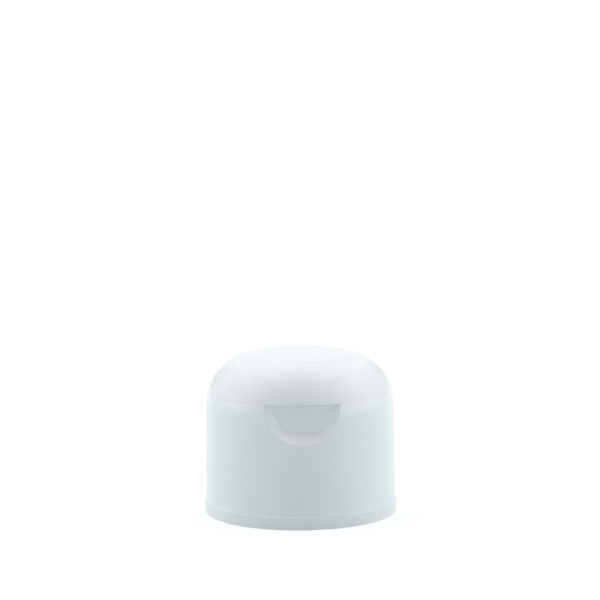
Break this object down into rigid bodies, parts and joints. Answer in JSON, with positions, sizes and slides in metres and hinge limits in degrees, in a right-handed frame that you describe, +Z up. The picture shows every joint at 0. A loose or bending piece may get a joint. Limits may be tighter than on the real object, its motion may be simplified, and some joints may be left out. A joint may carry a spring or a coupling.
{
  "type": "flip top cap",
  "caption": "Domed flip-top dispensing cap for a screw-neck bottle, with a thumb notch, a plugged spout and a living hinge.",
  "frame": {"origin": "centre of the open bottom rim, on the neck's axis", "axes": "+Z up along the neck's axis, -Y out through the thumb notch, living hinge on the +Y side"},
  "size_m": [0.033, 0.033, 0.0268],
  "materials": {
    "base": "moulded white polypropylene, satin gloss",
    "lid": "moulded white polypropylene, satin gloss",
    "hinge": "thin moulded polypropylene film"
  },
  "bodies": {
    "base": {"base": "base", "living_hinge": "hinge"},
    "lid": {"lid": "lid"}
  },
  "joints": [
    {"name": "lid_hinge", "type": "hinge", "parent": "base", "child": "lid", "pos_m": [0, 0.01626, 0.02115], "axis": [-1, 0, 0], "range_deg": [0, 170], "deforming": ["living_hinge"]}
  ]
}
